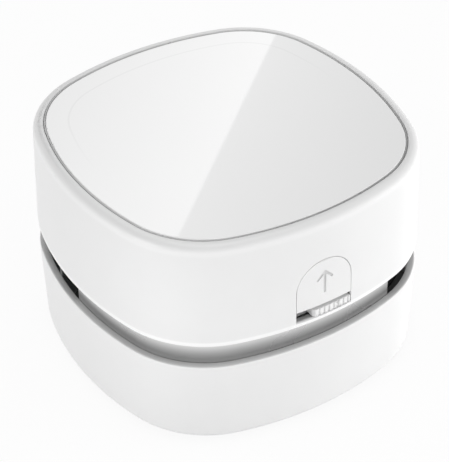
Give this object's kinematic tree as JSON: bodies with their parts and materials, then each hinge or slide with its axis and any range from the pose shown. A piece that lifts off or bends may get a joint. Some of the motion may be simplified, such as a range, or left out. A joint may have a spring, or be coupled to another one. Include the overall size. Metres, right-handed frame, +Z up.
{
  "type": "desktop mini vacuum cleaner",
  "caption": "White desktop mini vacuum cleaner with rounded-square halves, a glossy top panel, a ribbed slide switch and an arched release button over the dust box.",
  "frame": {"origin": "on the table under the middle of the body", "axes": "+Z up, -Y out of the side with the switch and the release button"},
  "size_m": [0.086, 0.086, 0.059],
  "materials": {
    "white_plastic": "satin",
    "panel_white": "gloss",
    "clear_panel": "polished",
    "trim_grey": "satin",
    "grey_plastic": "matte",
    "dark_plastic": "matte",
    "rubber": "matte",
    "foam": "matte",
    "nylon": "matte",
    "filter_felt": "matte",
    "steel": "satin",
    "copper": "satin",
    "board": "satin",
    "cell_wrap": "satin"
  },
  "bodies": {
    "dust_box_body": {"dust_box": "white_plastic", "floor_plate": "grey_plastic", "floor_seal": "rubber", "floor_screws": "steel", "rubber_feet": "rubber", "brush_backings": "dark_plastic", "brush_bristles": "nylon"},
    "filter": {"filter_frame": "grey_plastic", "filter_cloth": "filter_felt"},
    "upper_half": {"upper_shell": "white_plastic", "trim_ring": "trim_grey", "top_panel": "clear_panel", "panel_backing": "panel_white", "neck_frame": "grey_plastic", "exhaust_foams": "foam", "shell_screws": "steel", "fan_cover": "grey_plastic", "fan_cover_screws": "steel", "filter_seal": "foam", "motor_can": "steel", "motor_magnets": "dark_plastic", "motor_end_cap": "grey_plastic", "motor_terminals": "copper", "motor_gasket": "rubber", "motor_screws": "steel", "cell_cradle": "dark_plastic", "battery_cell": "cell_wrap", "charging_board": "board", "charging_socket": "steel", "charging_board_screws": "steel", "status_light": "clear_panel", "switch_board": "board", "slide_switch": "steel", "switch_board_screws": "steel", "latch_arm": "grey_plastic", "latch_screw": "steel", "release_spring": "steel"},
    "rotor": {"fan": "dark_plastic", "motor_shaft": "steel", "motor_core": "copper"},
    "switch": {"switch_knob": "white_plastic", "switch_stem": "dark_plastic"},
    "button": {"release_button": "white_plastic"}
  },
  "joints": [
    {"name": "upper_half_lift", "type": "slide", "parent": "dust_box_body", "child": "upper_half", "axis": [0, 0, 1], "range_m": [0, 0.05], "deforming": ["latch_arm"]},
    {"name": "filter_lift", "type": "slide", "parent": "dust_box_body", "child": "filter", "axis": [0, 0, 1], "range_m": [0, 0.025]},
    {"name": "fan_spin", "type": "hinge", "parent": "upper_half", "child": "rotor", "pos_m": [0, 0, 0.03], "axis": [0, 0, 1], "continuous": true},
    {"name": "switch_slide", "type": "slide", "parent": "upper_half", "child": "switch", "axis": [-1, 0, 0], "range_m": [0, 0.0043]},
    {"name": "button_push", "type": "slide", "parent": "upper_half", "child": "button", "axis": [0, 1, 0], "range_m": [0, 0.0012], "stiffness_N_per_m": 500, "springref_m": -0.001, "deforming": ["latch_arm", "release_spring"]}
  ],
  "couplings": [
    {"joint": "filter_lift", "follows": "upper_half_lift", "ratio": 0.5}
  ]
}
